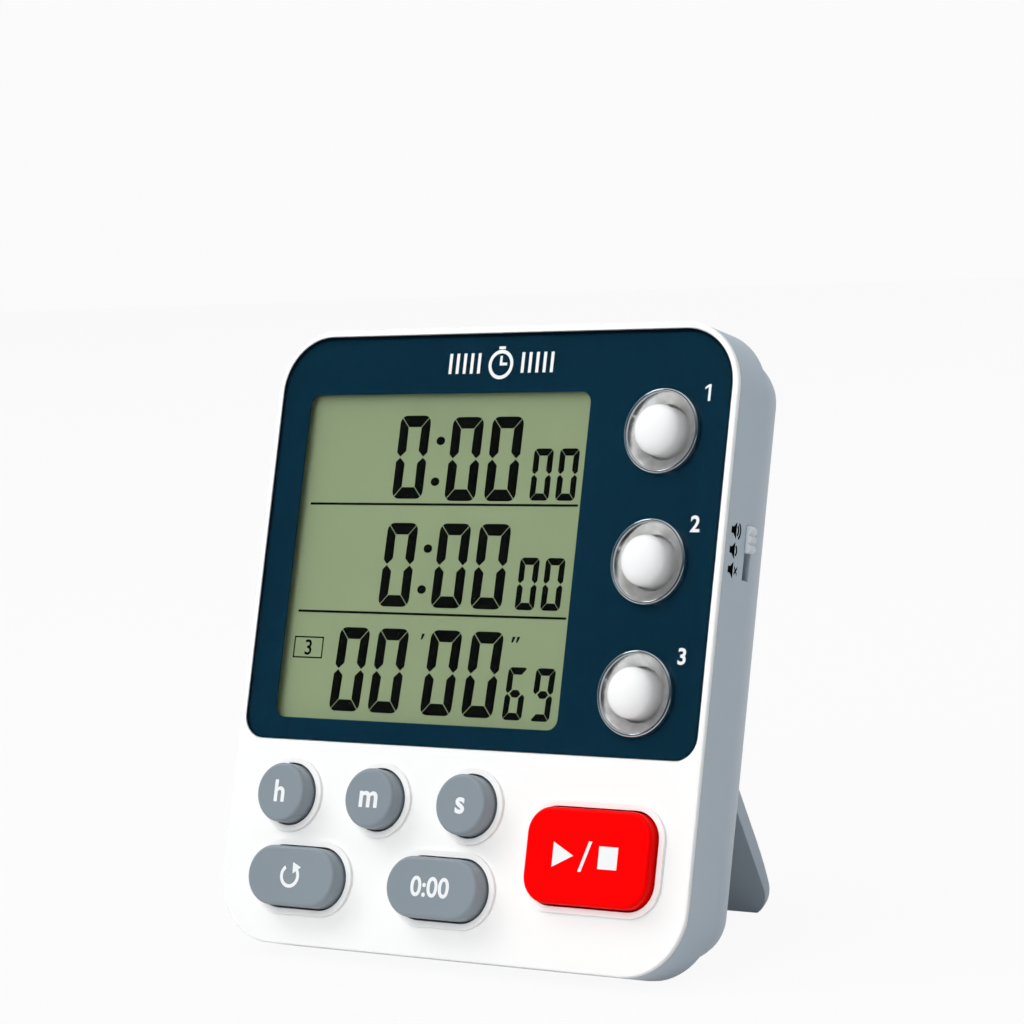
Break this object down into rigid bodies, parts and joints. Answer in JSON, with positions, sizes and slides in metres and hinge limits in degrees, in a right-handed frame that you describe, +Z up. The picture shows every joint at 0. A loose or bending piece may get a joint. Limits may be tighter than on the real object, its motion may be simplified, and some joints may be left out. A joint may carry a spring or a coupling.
{
  "type": "digital kitchen timer",
  "caption": "Countertop digital timer with a large segment display, domed channel buttons, time keys and a red start key, leaning back on a fold-out stand.",
  "frame": {"origin": "centre of the bounding box on the surface that the timer stands on, stand open", "axes": "+Z up, +X to the right of the display as the user sees it, +Y towards the back"},
  "size_m": [0.0868, 0.0511, 0.0946],
  "materials": {
    "white_gloss": "gloss",
    "grey_shell": "fine texture",
    "clear_sheet": "gloss",
    "navy_print": "gloss",
    "chrome": "polished lip, brushed cone",
    "white_button": "gloss",
    "grey_key": "satin",
    "red_key": "satin",
    "lcd_green": "matte",
    "lcd_glass": "gloss",
    "reflector": "matte",
    "inner_frame": "matte",
    "elastomer": "matte",
    "board_green": "satin",
    "black_epoxy": "satin",
    "nickel": "satin",
    "capacitor_sleeve": "gloss",
    "chip_ceramic": "matte",
    "copper_coil": "satin",
    "switch_case": "satin",
    "silicone": "matte",
    "brass_disc": "satin",
    "red_wire": "satin",
    "cell_jacket": "gloss",
    "spring_steel": "satin",
    "magnet_metal": "satin"
  },
  "bodies": {
    "case": {"front_case": "white_gloss", "rear_case": "grey_shell", "display_window": "clear_sheet", "panel_print": "navy_print", "bezel_ring_1": "chrome", "bezel_ring_2": "chrome", "bezel_ring_3": "chrome", "lcd_polariser": "lcd_green", "lcd_glass": "lcd_glass", "lcd_reflector": "reflector", "lcd_frame": "inner_frame", "zebra_connector": "elastomer", "circuit_board": "board_green", "chip_blob": "black_epoxy", "crystal": "nickel", "capacitor": "capacitor_sleeve", "resistors": "chip_ceramic", "buzzer_coil": "copper_coil", "slide_switch_body": "switch_case", "keypad_lower": "silicone", "keypad_side": "silicone", "buzzer": "brass_disc", "buzzer_leads": "red_wire", "battery_upper": "cell_jacket", "battery_lower": "cell_jacket", "battery_contacts": "nickel", "battery_bridge": "nickel", "battery_springs": "spring_steel", "magnets": "magnet_metal", "case_screws": "spring_steel", "board_screws": "spring_steel"},
    "round_button_1": {"round_button_1": "white_button"},
    "round_button_2": {"round_button_2": "white_button"},
    "round_button_3": {"round_button_3": "white_button"},
    "hour_key": {"hour_key": "grey_key"},
    "minute_key": {"minute_key": "grey_key"},
    "second_key": {"second_key": "grey_key"},
    "memory_key": {"memory_key": "grey_key"},
    "clear_key": {"clear_key": "grey_key"},
    "start_stop_key": {"start_stop_key": "red_key"},
    "volume_knob": {"volume_knob": "white_button"},
    "battery_door": {"battery_door": "grey_shell"},
    "stand": {"stand": "grey_shell"}
  },
  "joints": [
    {"name": "round_button_1_press", "type": "slide", "parent": "case", "child": "round_button_1", "axis": [0, 0.9532, -0.3024], "range_m": [0, 0.0008], "stiffness_N_per_m": 900},
    {"name": "round_button_2_press", "type": "slide", "parent": "case", "child": "round_button_2", "axis": [0, 0.9532, -0.3024], "range_m": [0, 0.0008], "stiffness_N_per_m": 900},
    {"name": "round_button_3_press", "type": "slide", "parent": "case", "child": "round_button_3", "axis": [0, 0.9532, -0.3024], "range_m": [0, 0.0008], "stiffness_N_per_m": 900},
    {"name": "hour_key_press", "type": "slide", "parent": "case", "child": "hour_key", "axis": [0, 0.9532, -0.3024], "range_m": [0, 0.0008], "stiffness_N_per_m": 900},
    {"name": "minute_key_press", "type": "slide", "parent": "case", "child": "minute_key", "axis": [0, 0.9532, -0.3024], "range_m": [0, 0.0008], "stiffness_N_per_m": 900},
    {"name": "second_key_press", "type": "slide", "parent": "case", "child": "second_key", "axis": [0, 0.9532, -0.3024], "range_m": [0, 0.0008], "stiffness_N_per_m": 900},
    {"name": "memory_key_press", "type": "slide", "parent": "case", "child": "memory_key", "axis": [0, 0.9532, -0.3024], "range_m": [0, 0.0008], "stiffness_N_per_m": 900},
    {"name": "clear_key_press", "type": "slide", "parent": "case", "child": "clear_key", "axis": [0, 0.9532, -0.3024], "range_m": [0, 0.0008], "stiffness_N_per_m": 900},
    {"name": "start_stop_key_press", "type": "slide", "parent": "case", "child": "start_stop_key", "axis": [0, 0.9532, -0.3024], "range_m": [0, 0.0008], "stiffness_N_per_m": 1200},
    {"name": "volume_slide", "type": "slide", "parent": "case", "child": "volume_knob", "axis": [0, 0.3024, 0.9532], "range_m": [-0.004, 0]},
    {"name": "battery_door_lift", "type": "slide", "parent": "case", "child": "battery_door", "axis": [0, 0.9532, -0.3024], "range_m": [0, 0.02]},
    {"name": "stand_fold", "type": "hinge", "parent": "case", "child": "stand", "pos_m": [0, 0.00667, 0.04098], "axis": [1, 0, 0], "range_deg": [-42.83, 0]}
  ]
}
